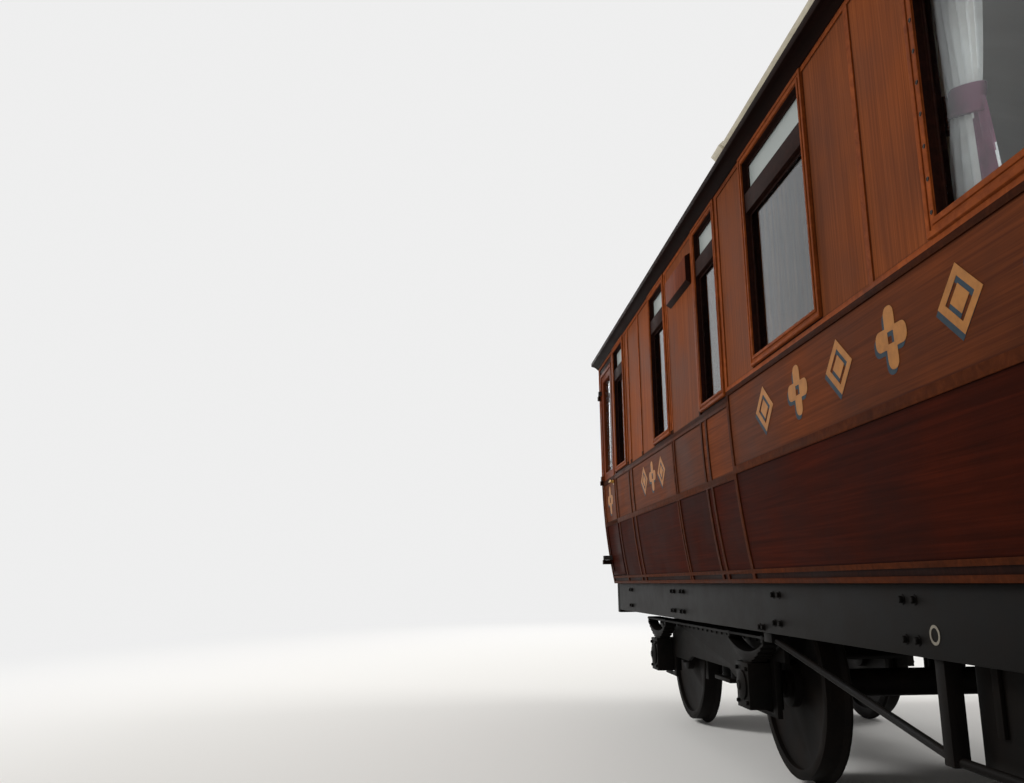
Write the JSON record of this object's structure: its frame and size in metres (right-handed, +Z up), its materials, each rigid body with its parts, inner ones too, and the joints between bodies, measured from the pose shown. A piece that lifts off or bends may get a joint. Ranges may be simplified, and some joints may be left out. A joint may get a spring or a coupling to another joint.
{
  "type": "passenger coach",
  "caption": "Wooden-bodied bogie passenger coach with panelled sides, arched roof, hinged end doors and gangways, on swivelling bogies.",
  "frame": {"origin": "under the middle of the coach, level with the lowest point of the wheel flanges", "axes": "+X along the coach, +Y towards its left side, +Z up"},
  "size_m": [16.41, 2.75, 4.0702],
  "materials": {
    "teak": "varnished",
    "teak_bead": "varnished",
    "window_wood": "varnished",
    "cornice": "painted",
    "roof_canvas": "matt",
    "glass": "clear",
    "black_iron": "satin",
    "wheel_steel": "satin",
    "buffer_steel": "worn",
    "bellows": "rubberised",
    "floor_boards": "linoleum covered",
    "inner_panel": "varnished",
    "upholstery": "moquette",
    "curtain": "plain weave",
    "brass": "polished"
  },
  "bodies": {
    "body": {"side_left": "teak", "side_right": "teak", "mouldings_left": "teak_bead", "mouldings_right": "teak_bead", "window_frames_left": "window_wood", "window_frames_right": "window_wood", "window_glass": "glass", "end_a": "teak", "end_b": "teak", "roof": "roof_canvas", "cornices": "cornice", "roof_strips": "roof_canvas", "roof_vents": "roof_canvas", "vent_hoods": "window_wood", "floor": "floor_boards", "solebars": "black_iron", "crossbars": "black_iron", "body_bolsters": "black_iron", "longitudinals": "black_iron", "headstocks": "black_iron", "truss_rods": "black_iron", "battery_boxes": "black_iron", "brake_cylinders": "black_iron", "buffers": "buffer_steel", "drawgear": "black_iron", "gangway_bellows": "bellows", "gangway_frames": "black_iron", "partitions": "inner_panel", "seat_frames": "inner_panel", "seat_cushions": "upholstery", "tables": "inner_panel", "table_lamps": "brass", "curtains_left": "curtain", "curtains_right": "curtain", "curtain_rods": "brass"},
    "door_left_b": {"door_left_b": "teak", "door_left_b_glass": "glass"},
    "door_left_a": {"door_left_a": "teak", "door_left_a_glass": "glass"},
    "door_right_b": {"door_right_b": "teak", "door_right_b_glass": "glass"},
    "door_right_a": {"door_right_a": "teak", "door_right_a_glass": "glass"},
    "bogie_a": {"bogie_a_frame": "black_iron", "bogie_a_bolster": "black_iron", "bogie_a_axleboxes": "black_iron"},
    "bogie_b": {"bogie_b_frame": "black_iron", "bogie_b_bolster": "black_iron", "bogie_b_axleboxes": "black_iron"},
    "wheelset_1": {"wheelset_1": "wheel_steel"},
    "wheelset_2": {"wheelset_2": "wheel_steel"},
    "wheelset_3": {"wheelset_3": "wheel_steel"},
    "wheelset_4": {"wheelset_4": "wheel_steel"}
  },
  "joints": [
    {"name": "bogie_a_swivel", "type": "hinge", "parent": "body", "child": "bogie_a", "pos_m": [-5.105, 0, 0.986], "axis": [0, 0, 1], "range_deg": [-4, 4]},
    {"name": "bogie_b_swivel", "type": "hinge", "parent": "body", "child": "bogie_b", "pos_m": [5.105, 0, 0.986], "axis": [0, 0, 1], "range_deg": [-4, 4]},
    {"name": "wheelset_1_roll", "type": "hinge", "parent": "bogie_a", "child": "wheelset_1", "pos_m": [-6.324, 0, 0.561], "axis": [0, 1, 0], "continuous": true},
    {"name": "wheelset_2_roll", "type": "hinge", "parent": "bogie_a", "child": "wheelset_2", "pos_m": [-3.886, 0, 0.561], "axis": [0, 1, 0], "continuous": true},
    {"name": "wheelset_3_roll", "type": "hinge", "parent": "bogie_b", "child": "wheelset_3", "pos_m": [3.886, 0, 0.561], "axis": [0, 1, 0], "continuous": true},
    {"name": "wheelset_4_roll", "type": "hinge", "parent": "bogie_b", "child": "wheelset_4", "pos_m": [6.324, 0, 0.561], "axis": [0, 1, 0], "continuous": true},
    {"name": "door_left_b_hinge", "type": "hinge", "parent": "body", "child": "door_left_b", "pos_m": [7.53, 1.3195, 2.2], "axis": [0, 0, -1], "range_deg": [0, 90]},
    {"name": "door_left_a_hinge", "type": "hinge", "parent": "body", "child": "door_left_a", "pos_m": [-6.89, 1.3195, 2.2], "axis": [0, 0, -1], "range_deg": [0, 90]},
    {"name": "door_right_b_hinge", "type": "hinge", "parent": "body", "child": "door_right_b", "pos_m": [6.89, -1.3195, 2.2], "axis": [0, 0, -1], "range_deg": [0, 90]},
    {"name": "door_right_a_hinge", "type": "hinge", "parent": "body", "child": "door_right_a", "pos_m": [-7.53, -1.3195, 2.2], "axis": [0, 0, -1], "range_deg": [0, 90]}
  ]
}
